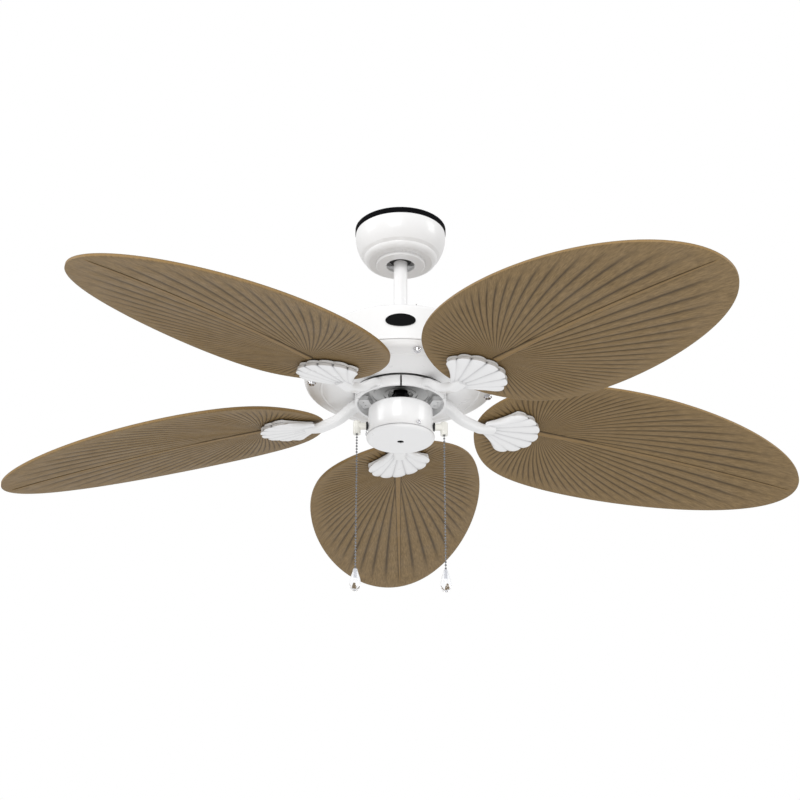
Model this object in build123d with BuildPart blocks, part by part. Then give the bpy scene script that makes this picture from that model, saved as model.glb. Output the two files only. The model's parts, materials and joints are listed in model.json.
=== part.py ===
# Ceiling fan with five palm-leaf blades, hung on a ball by a short downrod.
# Millimetres, +Z up. The origin is the centre of the ceiling plane, on the fan's axis.
import math
import os

from build123d import *

os.makedirs("parts", exist_ok=True)

# General sizes
sheet = 1.2
running = 0.05
bedding = 0.1
seat_gap = 0.3

# Canopy, its gasket and its cover ring
gasket_outer_r = 71.0
gasket_inner_r = 63.0
gasket_height = 9.0
canopy_rim_r = 70.0
canopy_height = 50.5
canopy_waist_r = 61.0
canopy_ledge = 4.0
canopy_floor_r = 49.0
canopy_hole_r = 24.0
cover_ring_r = 38.0
cover_ring_height = 5.5
cover_ring_hole_r = 21.8
canopy_top = -gasket_height
canopy_floor = canopy_top - canopy_height
ring_bottom = canopy_floor - cover_ring_height

# Hanger bracket and ball
strap = 2.0
bracket_length = 110.0
bracket_width = 40.0
slot_spacing = 86.0
slot_width = 5.5
slot_length = 14.0
wire_hole_r = 8.0
leg_gap = 62.0
ball_r = 25.0
ball_depth = 37.0
cradle_depth = 53.2
weld_nut_r = 4.4
canopy_screw_r = 2.0
canopy_screw_x = 28.5
ball_z = -ball_depth
cradle_top = -cradle_depth
cradle_bottom = cradle_top - strap

# Downrod and its pins
rod_r = 10.65
rod_bore_r = 8.05
rod_above_ball = 20.0
rod_length = 158.0
cross_pin_r = 3.0
cross_pin_length = 44.0
clevis_pin_r = 3.0
clevis_pin_up = 30.0
rod_top = ball_z + rod_above_ball
rod_bottom = rod_top - rod_length
clevis_z = rod_bottom + clevis_pin_up

# Motor yoke
yoke_r = 15.0
yoke_rise = 59.6
yoke_flange_r = 36.0
yoke_flange = 4.0
housing_screw_circle = 27.0
set_screw_r = 3.0
set_screw_up = 10.0
housing_top = rod_bottom - 23.6
yoke_top = housing_top + yoke_rise
flange_top = housing_top - sheet
flange_bottom = flange_top - yoke_flange

# Upper housing and lower cover
housing_height = 68.0
rim_r = 145.0
rim_flare = 26.5
shoulder_round = 12.0
cover_depth = 18.4
cover_crease_in = 25.0
cover_hole_r = 69.3
cover_screw_in = 10.1
cover_screw_turn = -79.6
cover_screw_count = 4
boss_r = 5.0
badge_width = 44.0
badge_height = 23.0
badge_thickness = 1.5
badge_up = 34.5
rim_z = housing_top - housing_height
shoulder_r = rim_r - rim_flare
cover_crease_r = rim_r - cover_crease_in
cover_screw_circle = rim_r - cover_screw_in
cover_lip_z = rim_z - cover_depth

# Motor
shaft_r = 8.5
shaft_bore_r = 5.0
bearing_r = 20.0
bearing_width = 12.0
stack_height = 16.0
air_gap = 0.5
drum_r = 80.0
drum_wall = 4.0
cage_depth = 15.5
neck_r = 66.0
rotor_flange = 8.0
rotor_bolt_count = 6
winding_slots = 16
middle_drop = 45.4
motor_middle = housing_top - middle_drop
ring_outer_r = drum_r - drum_wall - running
stator_r = ring_outer_r - cage_depth - air_gap
rotor_flange_r = drum_r + rotor_flange
rotor_bolt_circle = drum_r + rotor_flange / 2
mount_face = cover_lip_z - 2.1
drum_top = motor_middle + 30.0
drum_bottom = mount_face + 10.0
shell_floor = mount_face + drum_wall
bearing_seat = mount_face + 6.0

# Blade arms
blade_count = 5
first_blade = 90.6
foot_r = 69.0
foot_height = 16.0
foot_wall = 4.0
foot_gap = 2.8
lug_inner_r = 48.0
lug_thickness = 7.0
lug_angle = 14.0
arm_screw_r = 2.5
arm_screw_u = 57.0
arm_screw_v = 6.0
arm_width = 19.0
arm_thickness = 12.5
medallion_centre = 145.0
medallion_reach = 75.0
medallion_spread = 62.0
medallion_lobes = 7
medallion_thickness = 3.5
medallion_gap = 3.0
pad_r = 7.5
lobe_depth = 3.6
foot_bottom = mount_face - foot_height
lug_bottom = mount_face - bedding - lug_thickness

# Palm-leaf blades
blade_drop = 327.0
blade_root_r = 126.0
blade_tip_r = 660.0
leaf_half_width = 139.0
leaf_egg = 78.8
leaf_square = 20.6
leaf_heart = 25.0
leaf_full = 7.65
leaf_lean = 2.35
blade_thickness = 5.0
blade_pitch = 10.55
droop_slope = 0.0923
droop_sag = 7.1
droop_sag_span = 250.0
droop_centre = 400.0
rib_start = 226.0
rib_width = 9.0
rib_tip_width = 2.0
rib_height = 1.8
blade_screw_places = [(164.0, 0.0), (196.0, 19.0), (196.0, -19.0)]
blade_screw_r = 2.5
blade_plane = -blade_drop

# Switch housing under the motor
switch_r = 48.0
switch_lip_r = 51.0
switch_depth = 45.0
switch_flare = 17.0
cap_depth = 7.4
cap_hole_r = 5.0
cap_screw_count = 3
cap_screw_turn = 62.0
cap_screw_up = 5.5
switch_turn = 2.0
seam_gap = 0.9
switch_top = foot_bottom - 9.0
switch_seam = switch_top - switch_depth
cap_bottom = switch_seam - cap_depth

# Pull chains
pull_x = 65.0
elbow_r = 5.6
elbow_height = 21.3
elbow_top = switch_top - 19.4
elbow_bore_r = 2.4
nozzle_r = 4.0
chain_r = 1.6
chain_inside = 16.0
chain_length = 228.0
pendant_r = 7.9
pendant_height = 33.0
nozzle_z = elbow_top - 8.0
elbow_bottom = elbow_top - elbow_height
chain_top = elbow_bottom + chain_inside
chain_bottom = chain_top - chain_length

parts_made = []


def keep(piece, label):
    """Label a finished piece and write it as a STEP file."""
    piece.label = label
    export_step(piece, f"parts/{label}.step")
    parts_made.append(label)


def polar(radius, degrees):
    """Point on a circle about the fan's axis."""
    angle = math.radians(degrees)
    return (radius * math.cos(angle), radius * math.sin(angle))


def joined(pieces):
    """Separate solids as one group."""
    return Compound(children=list(pieces))


def pan_screw(head_r, head_height, shank_r, shank_length, washer_r=0.0, washer=0.0):
    """Pan-head screw, head up, with the seat of its head or washer at the origin."""
    with BuildPart() as screw:
        with BuildSketch(Plane.XY.offset(washer)):
            Circle(head_r)
        extrude(amount=head_height)
        fillet(screw.edges().group_by(Axis.Z)[-1], head_height * 0.45)
        with BuildSketch(Plane.XY.offset(washer + head_height)):
            Rectangle(head_r * 1.1, head_r * 0.26)
            Rectangle(head_r * 0.26, head_r * 1.1)
        extrude(amount=-head_height * 0.5, mode=Mode.SUBTRACT)
        if washer:
            with BuildSketch():
                Circle(washer_r)
            extrude(amount=washer)
        with BuildSketch():
            Circle(shank_r)
        extrude(amount=-shank_length)
    return screw.part


def copies(piece, places):
    """Copies of one piece at a list of locations, as separate solids."""
    return joined([piece.moved(place) for place in places])


# Ceiling gasket
with BuildPart() as gasket:
    with BuildSketch(Plane.XY.offset(canopy_top)):
        Circle(gasket_outer_r)
        Circle(gasket_inner_r, mode=Mode.SUBTRACT)
    extrude(amount=gasket_height)
    fillet(gasket.edges().group_by(Axis.Z)[0].sort_by(SortBy.RADIUS)[-1], 1.5)
keep(gasket.part, "ceiling_gasket")

# Hanger bracket: ceiling strap with two slots, two legs, a cradle with a ball seat and two weld nuts
leg_x = leg_gap / 2 + strap
with BuildPart() as bracket:
    with BuildSketch(Plane.XY.offset(-strap)):
        RectangleRounded(bracket_length, bracket_width, 6)
        Circle(wire_hole_r, mode=Mode.SUBTRACT)
        with Locations((-slot_spacing / 2, 0), (slot_spacing / 2, 0)):
            SlotOverall(slot_length, slot_width, mode=Mode.SUBTRACT)
    extrude(amount=strap)
    with BuildSketch(Plane.XZ):
        with Locations((-leg_x + strap / 2, cradle_bottom / 2), (leg_x - strap / 2, cradle_bottom / 2)):
            Rectangle(strap, -cradle_bottom)
    extrude(amount=bracket_width / 2 - 4, both=True)
    with BuildSketch(Plane.XY.offset(cradle_bottom)):
        Rectangle(2 * leg_x, bracket_width - 8)
    extrude(amount=strap)
    nut_length = cradle_bottom - canopy_floor - sheet
    with BuildSketch(Plane.XY.offset(cradle_bottom)):
        with Locations((-canopy_screw_x, 0), (canopy_screw_x, 0)):
            Circle(weld_nut_r)
    extrude(amount=-nut_length)
    with Locations((0, 0, ball_z)):
        Sphere(ball_r + seat_gap, mode=Mode.SUBTRACT)
    with Locations((-canopy_screw_x, 0, cradle_top), (canopy_screw_x, 0, cradle_top)):
        Cylinder(canopy_screw_r + running, 2 * (strap + nut_length), mode=Mode.SUBTRACT)
keep(bracket.part, "hanger_bracket")

# Terminal block on one leg of the bracket
with BuildPart() as terminals:
    with Locations((-leg_x - 6.5, 0, -31)):
        Box(13, 26, 16)
    fillet(terminals.edges().filter_by(Axis.X), 1.2)
    with Locations(*[(-leg_x - 8, y, -23) for y in (-8, 0, 8)]):
        Cylinder(2.2, 8, mode=Mode.SUBTRACT)
keep(terminals.part, "terminal_block")

# Canopy: thin bell with a ledge and a rounded band above its flat floor
ledge_z = canopy_top - 38.0
with BuildPart() as canopy:
    with BuildSketch(Plane.XZ):
        with BuildLine():
            ThreePointArc(
                (canopy_rim_r, canopy_top),
                (canopy_rim_r - 2.0, canopy_top - 22.0),
                (canopy_waist_r, ledge_z),
            )
            Line((canopy_waist_r, ledge_z), (canopy_waist_r - canopy_ledge, ledge_z - canopy_ledge))
            ThreePointArc(
                (canopy_waist_r - canopy_ledge, ledge_z - canopy_ledge),
                ((canopy_waist_r - canopy_ledge + canopy_floor_r) / 2 + 1.4, canopy_floor + 3.2),
                (canopy_floor_r, canopy_floor),
            )
            Line((canopy_floor_r, canopy_floor), (canopy_hole_r, canopy_floor))
            offset(amount=sheet, side=Side.RIGHT)
        make_face()
    revolve(axis=Axis.Z)
    with Locations((-canopy_screw_x, 0, canopy_floor), (canopy_screw_x, 0, canopy_floor)):
        Cylinder(canopy_screw_r + 0.2, 6 * sheet, mode=Mode.SUBTRACT)
keep(canopy.part, "canopy")

canopy_screw = pan_screw(3.4, 2.2, canopy_screw_r, cradle_top - canopy_floor)
keep(
    copies(
        canopy_screw,
        [Location((x, 0, canopy_floor), (180, 0, 0)) for x in (-canopy_screw_x, canopy_screw_x)],
    ),
    "canopy_screws",
)

# Cover ring pressed up against the canopy floor, hiding the two screws
with BuildPart() as cover_ring:
    with BuildSketch(Plane.XY.offset(ring_bottom)):
        Circle(cover_ring_r)
        Circle(cover_ring_hole_r, mode=Mode.SUBTRACT)
    extrude(amount=cover_ring_height)
    fillet(cover_ring.edges().group_by(Axis.Z)[0], 1.6)
    with BuildSketch(Plane.XY.offset(ring_bottom + sheet + 0.8)):
        Circle(cover_ring_r - sheet)
        Circle(cover_ring_hole_r + sheet, mode=Mode.SUBTRACT)
    extrude(amount=cover_ring_height, mode=Mode.SUBTRACT)
keep(cover_ring.part, "canopy_cover_ring")

# Hanger ball, with its bore for the rod and a cross hole for the pin
with BuildPart() as ball:
    with Locations((0, 0, ball_z)):
        Sphere(ball_r)
        Cylinder(rod_r + running, 3 * ball_r, mode=Mode.SUBTRACT)
    with Locations(Location((0, 0, ball_z), (0, 90, 0))):
        Cylinder(cross_pin_r + running, 3 * ball_r, mode=Mode.SUBTRACT)
keep(ball.part, "hanger_ball")

with BuildPart() as cross_pin:
    with Locations(Location((0, 0, ball_z), (0, 90, 0))):
        Cylinder(cross_pin_r, cross_pin_length)
    chamfer(cross_pin.edges(), 0.5)
keep(cross_pin.part, "ball_cross_pin")

# Downrod: steel pipe with two cross holes
with BuildPart() as rod:
    with BuildSketch(Plane.XY.offset(rod_bottom)):
        Circle(rod_r)
        Circle(rod_bore_r, mode=Mode.SUBTRACT)
    extrude(amount=rod_length)
    with Locations(Location((0, 0, ball_z), (0, 90, 0))):
        Cylinder(cross_pin_r + running, 3 * rod_r, mode=Mode.SUBTRACT)
    with Locations(Location((0, 0, clevis_z), (0, 90, 0))):
        Cylinder(clevis_pin_r + running, 3 * rod_r, mode=Mode.SUBTRACT)
keep(rod.part, "downrod")

# Motor yoke: socket for the rod, seat for the shaft and the flange that carries the housing
shaft_seat = rod_bottom - 2.0
with BuildPart() as yoke:
    with BuildSketch(Plane.XY.offset(flange_bottom)):
        Circle(yoke_flange_r)
    extrude(amount=yoke_flange)
    with BuildSketch(Plane.XY.offset(flange_bottom)):
        Circle(yoke_r)
    extrude(amount=yoke_top - flange_bottom)
    fillet(yoke.edges().group_by(Axis.Z)[-1], 1.5)
    with BuildSketch(Plane.XY.offset(shaft_seat)):
        Circle(rod_r + running)
    extrude(amount=yoke_top - shaft_seat, mode=Mode.SUBTRACT)
    with BuildSketch(Plane.XY.offset(flange_bottom)):
        Circle(shaft_r + running)
    extrude(amount=yoke_top - flange_bottom, mode=Mode.SUBTRACT)
    with Locations(Location((0, 0, clevis_z), (0, 90, 0))):
        Cylinder(clevis_pin_r + running, 3 * yoke_r, mode=Mode.SUBTRACT)
    with Locations(Location((0, 0, rod_bottom + set_screw_up), (90, 0, 0))):
        Cylinder(set_screw_r + running, 3 * yoke_r, mode=Mode.SUBTRACT)
    with BuildSketch(Plane.XY.offset(flange_bottom)):
        with PolarLocations(housing_screw_circle, 4, start_angle=45):
            Circle(2.0 + running)
    extrude(amount=yoke_flange, mode=Mode.SUBTRACT)
keep(yoke.part, "motor_yoke")

# Clevis pin through yoke and rod, held by a spring clip
clip_x = yoke_r + 9.5
clip_wire_r = 0.9
with BuildPart() as clevis_pin:
    with BuildSketch(Plane.YZ.offset(-yoke_r - 2.2)):
        with Locations((0, clevis_z)):
            Circle(clevis_pin_r)
    extrude(amount=2 * yoke_r + 16)
    with BuildSketch(Plane.YZ.offset(-yoke_r - 2.2)):
        with Locations((0, clevis_z)):
            Circle(clevis_pin_r + 2)
    extrude(amount=2)
    with Locations((clip_x, 0, clevis_z)):
        Cylinder(clip_wire_r + running, 4 * clevis_pin_r, mode=Mode.SUBTRACT)
keep(clevis_pin.part, "clevis_pin")

hug = clevis_pin_r + clip_wire_r + running
clip_side = Plane(origin=(clip_x, 0, clevis_z), x_dir=(0, 1, 0), z_dir=(1, 0, 0))
with BuildPart() as clip:
    with BuildLine(clip_side) as clip_path:
        FilletPolyline(
            (0, -12),
            (0, 14),
            (8, 14),
            (8, 7),
            (hug, 0),
            (hug + 3.5, -8),
            radius=[3.0, 3.0, 3.0, 2.0],
        )
    with BuildSketch(Plane(origin=clip_path.wire() @ 0, z_dir=clip_path.wire() % 0)):
        Circle(clip_wire_r)
    sweep(path=clip_path.wire())
keep(clip.part, "clevis_clip")

with BuildPart() as set_screws:
    with BuildSketch(Plane.XZ.offset(rod_r + running)):
        with Locations((0, rod_bottom + set_screw_up)):
            Circle(set_screw_r)
            RegularPolygon(1.6, 6, mode=Mode.SUBTRACT)
    extrude(amount=yoke_r - rod_r + 1.5)
    mirror(about=Plane.XZ)
keep(joined(set_screws.part.solids()), "yoke_set_screws")

# Hollow motor shaft: carries the stator, the bearings and the switch housing
shaft_top = shaft_seat - bedding
collar_r = 11.0
plate_collar = 4.0
shaft_bottom = switch_top - 11.0
with BuildPart() as shaft:
    with BuildSketch(Plane.XY.offset(shaft_bottom)):
        Circle(shaft_r)
    extrude(amount=shaft_top - shaft_bottom)
    with BuildSketch(Plane.XY.offset(mount_face)):
        Circle(collar_r)
    extrude(amount=bearing_seat - seat_gap - mount_face)
    with BuildSketch(Plane.XY.offset(switch_top)):
        Circle(collar_r)
    extrude(amount=plate_collar)
    with BuildSketch(Plane.XY.offset(shaft_bottom)):
        Circle(shaft_bore_r)
    extrude(amount=shaft_top - shaft_bottom, mode=Mode.SUBTRACT)
keep(shaft.part, "motor_shaft")


def hex_nut(radius, height, bottom):
    """Hexagonal nut round the shaft."""
    with BuildPart() as nut:
        with BuildSketch(Plane.XY.offset(bottom)):
            RegularPolygon(radius, 6)
            Circle(shaft_r + running, mode=Mode.SUBTRACT)
        extrude(amount=height)
        chamfer(nut.edges().filter_by(GeomType.LINE).group_by(Axis.Z)[0], 0.8)
    return nut.part


keep(hex_nut(13.0, 4.0, mount_face - 4.0 - bedding), "shaft_lock_nut")
keep(hex_nut(13.0, 5.0, switch_top - sheet - bedding - 5.0), "switch_plate_nut")

# Upper housing: thin drum with a rounded shoulder that flares to the rim, and four tapped bosses
wall_top = (shoulder_r + shoulder_round * 0.974, housing_top - shoulder_round * 0.77)
cover_top = rim_z - 0.6
boss_bottom = rim_z - 5.5
boss_places = [
    (*polar(cover_screw_circle, cover_screw_turn + k * 360 / cover_screw_count), 0)
    for k in range(cover_screw_count)
]
with BuildPart() as housing:
    with BuildSketch(Plane.XZ):
        with BuildLine():
            Line((yoke_r + 0.5, housing_top), (shoulder_r, housing_top))
            ThreePointArc(
                (shoulder_r, housing_top),
                (shoulder_r + shoulder_round * 0.707, housing_top - shoulder_round * 0.293),
                wall_top,
            )
            Line(wall_top, (rim_r - 0.9, rim_z + 3.0))
            ThreePointArc((rim_r - 0.9, rim_z + 3.0), (rim_r, rim_z + 1.2), (rim_r - 0.8, rim_z))
            offset(amount=sheet, side=Side.RIGHT)
        make_face()
    revolve(axis=Axis.Z)
    with BuildSketch(Plane.XY.offset(rim_z + 1.0)):
        with Locations(*boss_places):
            Circle(boss_r + 2)
        with PolarLocations(0, cover_screw_count, start_angle=cover_screw_turn):
            with Locations((rim_r - 6.2, 0)):
                Rectangle(9.0, 2 * boss_r)
    extrude(amount=2.0)
    with BuildSketch(Plane.XY.offset(boss_bottom)):
        with Locations(*boss_places):
            Circle(boss_r)
    extrude(amount=rim_z + 1.0 - boss_bottom)
    with BuildSketch(Plane.XY.offset(boss_bottom)):
        with Locations(*boss_places):
            Circle(2.5)
    extrude(amount=rim_z + 3.0 - boss_bottom, mode=Mode.SUBTRACT)
    with BuildSketch(Plane.XY.offset(flange_top)):
        with PolarLocations(housing_screw_circle, 4, start_angle=45):
            Circle(2.2)
    extrude(amount=sheet, mode=Mode.SUBTRACT)
keep(housing.part, "upper_housing")

housing_screw = pan_screw(3.8, 2.6, 2.0, sheet + yoke_flange)
keep(
    copies(
        housing_screw,
        [Location((*polar(housing_screw_circle, 45 + 90 * k), housing_top)) for k in range(4)],
    ),
    "housing_screws",
)

# Oval badge plate, curved to the housing wall and left bare
badge_z = rim_z + badge_up
wall_slope = (rim_r - 0.9 - wall_top[0]) / (rim_z + 3.0 - wall_top[1])


def wall_at(z):
    """Outer radius of the housing wall at a height."""
    return wall_top[0] + wall_slope * (z - wall_top[1])


badge_lift = 0.1
badge_low = badge_z - badge_height
badge_high = badge_z + badge_height
with BuildPart() as badge:
    with BuildSketch(Plane.XZ):
        with BuildLine():
            Polyline(
                (wall_at(badge_low) + badge_lift, badge_low),
                (wall_at(badge_high) + badge_lift, badge_high),
                (wall_at(badge_high) + badge_lift + badge_thickness, badge_high),
                (wall_at(badge_low) + badge_lift + badge_thickness, badge_low),
                close=True,
            )
        make_face()
    revolve(axis=Axis.Z)
    with BuildSketch(Plane.XZ.offset(rim_r / 2)):
        with Locations((0, badge_z)):
            Ellipse(badge_width / 2, badge_height / 2)
    extrude(amount=rim_r, mode=Mode.INTERSECT)
keep(badge.part, "badge_plate")

# Lower cover: shallow saucer with a raised crease and a rolled inner edge
with BuildPart() as cover:
    with BuildSketch(Plane.XZ):
        with BuildLine():
            ThreePointArc(
                (rim_r - 0.7, cover_top),
                (rim_r - 4.0, cover_top - 6.2),
                (rim_r - 11.0, rim_z - 10.2),
            )
            ThreePointArc(
                (rim_r - 11.0, rim_z - 10.2),
                (rim_r - 17.0, rim_z - 12.0),
                (cover_crease_r + 2.2, rim_z - 12.9),
            )
            ThreePointArc(
                (cover_crease_r + 2.2, rim_z - 12.9),
                (cover_crease_r, rim_z - 14.2),
                (cover_crease_r - 2.2, rim_z - 13.5),
            )
            Line((cover_crease_r - 2.2, rim_z - 13.5), (cover_hole_r + 2.6, cover_lip_z))
            ThreePointArc(
                (cover_hole_r + 2.6, cover_lip_z),
                (cover_hole_r + 0.8, cover_lip_z + 0.6),
                (cover_hole_r, cover_lip_z + 2.2),
            )
            offset(amount=sheet, side=Side.RIGHT)
        make_face()
    revolve(axis=Axis.Z)
    with Locations(*[(x, y, rim_z - 9.0) for x, y, _ in boss_places]):
        Cylinder(2.8, 12, mode=Mode.SUBTRACT)
keep(cover.part, "lower_cover")

cover_screw = pan_screw(5.0, 2.8, 2.4, 11.0, washer_r=6.2, washer=0.8)
screw_seat = rim_z - 12.1
keep(
    copies(
        cover_screw,
        [Location((x, y, screw_seat), (180, 0, 0)) for x, y, _ in boss_places],
    ),
    "lower_cover_screws",
)

# Stator: slotted lamination stack with its copper windings
stack_bottom = motor_middle - stack_height / 2
slot_r = 4.6
slot_circle = stator_r - slot_r - 7.4
vent_circle = (slot_circle - slot_r + shaft_r) / 2 - 3.0
with BuildPart() as stator:
    with BuildSketch(Plane.XY.offset(stack_bottom)):
        Circle(stator_r)
        Circle(shaft_r + running, mode=Mode.SUBTRACT)
        with PolarLocations(slot_circle, winding_slots):
            Circle(slot_r, mode=Mode.SUBTRACT)
        with PolarLocations(vent_circle, 4):
            Circle(5, mode=Mode.SUBTRACT)
    extrude(amount=stack_height)
keep(stator.part, "stator_core")

coil_height = 7.0
with BuildPart() as windings:
    for start in (stack_bottom - coil_height - bedding, stack_bottom + stack_height + bedding):
        with BuildSketch(Plane.XY.offset(start)):
            Circle(slot_circle + 7)
            Circle(slot_circle - 8, mode=Mode.SUBTRACT)
        extrude(amount=coil_height)
    fillet(windings.edges().filter_by(GeomType.CIRCLE).group_by(Axis.Z)[0], 2.5)
    fillet(windings.edges().filter_by(GeomType.CIRCLE).group_by(Axis.Z)[-1], 2.5)
    with BuildSketch(Plane.XY.offset(stack_bottom - 2)):
        with PolarLocations(slot_circle, winding_slots):
            Circle(slot_r - seat_gap)
    extrude(amount=stack_height + 4)
keep(windings.part, "stator_windings")


def bearing(bottom):
    """Sealed ball bearing: a ring with a grooved face on each side."""
    with BuildPart() as ring:
        with BuildSketch(Plane.XY.offset(bottom)):
            Circle(bearing_r)
            Circle(shaft_r + running, mode=Mode.SUBTRACT)
        extrude(amount=bearing_width)
        for face, way in ((bottom, 1), (bottom + bearing_width, -1)):
            with BuildSketch(Plane.XY.offset(face)):
                Circle(bearing_r - 3.0)
                Circle(shaft_r + 3.0, mode=Mode.SUBTRACT)
            extrude(amount=way * 0.8, mode=Mode.SUBTRACT)
    return ring.part


upper_bearing_bottom = drum_top - 6.0
keep(bearing(upper_bearing_bottom), "upper_bearing")
keep(bearing(bearing_seat), "lower_bearing")

# Rotor: two aluminium shells bolted round a caged lamination ring
with BuildPart() as cage:
    with BuildSketch(Plane.XY.offset(stack_bottom)):
        Circle(ring_outer_r)
        Circle(stator_r + air_gap, mode=Mode.SUBTRACT)
    extrude(amount=stack_height)
keep(cage.part, "rotor_cage")

bolt_r = 2.0
pocket_r = bearing_r + running
boss_outer_r = bearing_r + 6.0
with BuildPart() as lower_shell:
    with BuildSketch(Plane.XZ):
        with BuildLine():
            Polyline(
                (rotor_flange_r, motor_middle),
                (rotor_flange_r, motor_middle - drum_wall),
                (drum_r, motor_middle - drum_wall),
                (drum_r, drum_bottom + 5),
                (drum_r - 5, drum_bottom),
                (neck_r, drum_bottom),
                (neck_r, mount_face),
                (42.5, mount_face),
                (42.5, mount_face + 1),
                (40.5, mount_face + 1),
                (40.5, mount_face),
                (boss_outer_r, mount_face),
                (boss_outer_r, mount_face + 1.4),
                (boss_outer_r - 2.5, mount_face + 1.4),
                (boss_outer_r - 2.5, mount_face),
                (19, mount_face),
                (19, bearing_seat - 1.5),
                (17, bearing_seat - 1.5),
                (17, bearing_seat),
                (pocket_r, bearing_seat),
                (pocket_r, bearing_seat + bearing_width),
                (boss_outer_r, bearing_seat + bearing_width),
                (boss_outer_r, shell_floor),
                (neck_r - drum_wall, shell_floor),
                (neck_r - drum_wall, drum_bottom + drum_wall),
                (drum_r - drum_wall - 2, drum_bottom + drum_wall),
                (drum_r - drum_wall, drum_bottom + drum_wall + 2),
                (drum_r - drum_wall, motor_middle),
                close=True,
            )
        make_face()
    revolve(axis=Axis.Z)
    with BuildSketch(Plane.XY.offset(motor_middle)):
        with PolarLocations(rotor_bolt_circle, rotor_bolt_count):
            Circle(bolt_r + running)
    extrude(amount=-drum_wall, mode=Mode.SUBTRACT)
    for k in range(blade_count):
        with BuildSketch(Plane.XY.offset(mount_face).rotated((0, 0, first_blade + k * 360 / blade_count))):
            with Locations((arm_screw_u, arm_screw_v), (arm_screw_u, -arm_screw_v)):
                Circle(arm_screw_r + running)
        extrude(amount=drum_wall, mode=Mode.SUBTRACT)
keep(lower_shell.part, "rotor_lower_shell")

with BuildPart() as upper_shell:
    with BuildSketch(Plane.XZ):
        with BuildLine():
            Polyline(
                (rotor_flange_r, motor_middle),
                (rotor_flange_r, motor_middle + drum_wall),
                (drum_r, motor_middle + drum_wall),
                (drum_r, drum_top - 5),
                (drum_r - 5, drum_top),
                (boss_outer_r, drum_top),
                (boss_outer_r, upper_bearing_bottom + bearing_width + 2),
                (17, upper_bearing_bottom + bearing_width + 2),
                (17, upper_bearing_bottom + bearing_width),
                (pocket_r, upper_bearing_bottom + bearing_width),
                (pocket_r, upper_bearing_bottom),
                (boss_outer_r, upper_bearing_bottom),
                (boss_outer_r, drum_top - drum_wall),
                (drum_r - drum_wall - 2, drum_top - drum_wall),
                (drum_r - drum_wall, drum_top - drum_wall - 2),
                (drum_r - drum_wall, motor_middle),
                close=True,
            )
        make_face()
    revolve(axis=Axis.Z)
    with BuildSketch(Plane.XY.offset(motor_middle)):
        with PolarLocations(rotor_bolt_circle, rotor_bolt_count):
            Circle(bolt_r + running)
    extrude(amount=drum_wall, mode=Mode.SUBTRACT)
keep(upper_shell.part, "rotor_upper_shell")

rotor_bolt = pan_screw(3.4, 2.4, bolt_r, 2 * drum_wall + 2)
keep(
    copies(
        rotor_bolt,
        [
            Location((*polar(rotor_bolt_circle, k * 360 / rotor_bolt_count), motor_middle + drum_wall))
            for k in range(rotor_bolt_count)
        ],
    ),
    "rotor_bolts",
)


# Blade arms and blades are made once, along +X with the leaf's own height as Z, then turned round the axis.
def leaf_height(u):
    """Height of the leaf's middle surface above the blade plane, along its centre line."""
    return -(u - droop_centre) * droop_slope - droop_sag * ((u - droop_centre) / droop_sag_span) ** 2


def leaf_slab(first, last, low, high, half_width):
    """Curved slab between two offsets from the leaf's middle surface."""
    middle = (first + last) / 2
    with BuildPart() as slab:
        with BuildSketch(Plane.XZ):
            with BuildLine():
                ThreePointArc(
                    (first, leaf_height(first) + low),
                    (middle, leaf_height(middle) + low),
                    (last, leaf_height(last) + low),
                )
                Line((last, leaf_height(last) + low), (last, leaf_height(last) + high))
                ThreePointArc(
                    (last, leaf_height(last) + high),
                    (middle, leaf_height(middle) + high),
                    (first, leaf_height(first) + high),
                )
                Line((first, leaf_height(first) + high), (first, leaf_height(first) + low))
            make_face()
        extrude(amount=half_width, both=True)
    return slab.part


def leaf_seat(u, v, up):
    """Place square to the leaf at (u, v), a step above its middle surface."""
    slope = droop_slope + 2 * droop_sag * (u - droop_centre) / droop_sag_span**2
    tilt = math.degrees(math.atan(slope))
    return Location((u, v, leaf_height(u)), (0, tilt, 0)) * Location((0, 0, up))


def leaf_outline(turn):
    """Point on the leaf's outline, from the tip at 0 degrees round by its counterclockwise side."""
    t = math.radians(turn)
    half = (blade_tip_r - blade_root_r) / 2
    u = (
        (blade_tip_r + blade_root_r) / 2
        + (half - leaf_square) * math.cos(t)
        + leaf_egg * (math.cos(2 * t) - 1)
        + leaf_square * math.cos(3 * t)
    )
    v = (
        leaf_half_width * math.sin(t)
        + leaf_heart * math.sin(2 * t)
        + leaf_full * math.sin(3 * t)
        - leaf_lean * (math.cos(2 * t) - 1)
    )
    return (u, v)


def blade_place(k):
    """Where blade k stands: on the blade plane, pitched about its own centre line."""
    turned = Location((0, 0, blade_plane), (0, 0, first_blade + k * 360 / blade_count))
    return turned * Location((0, 0, 0), (-blade_pitch, 0, 0))


leaf_reach = 60.0
outline_points = [leaf_outline(turn) for turn in range(0, 360, 15)]
half_leaf = blade_thickness / 2
with BuildPart() as midrib:
    with BuildSketch(Plane.XY.offset(-leaf_reach)):
        with BuildLine():
            Polyline(
                (rib_start, rib_width / 2),
                (blade_tip_r - 6, rib_tip_width / 2),
                (blade_tip_r - 6, -rib_tip_width / 2),
                (rib_start, -rib_width / 2),
                close=True,
            )
        make_face()
    extrude(amount=2 * leaf_reach)
    add(
        leaf_slab(blade_root_r, blade_tip_r, -half_leaf - rib_height, half_leaf, rib_width),
        mode=Mode.INTERSECT,
    )

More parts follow.
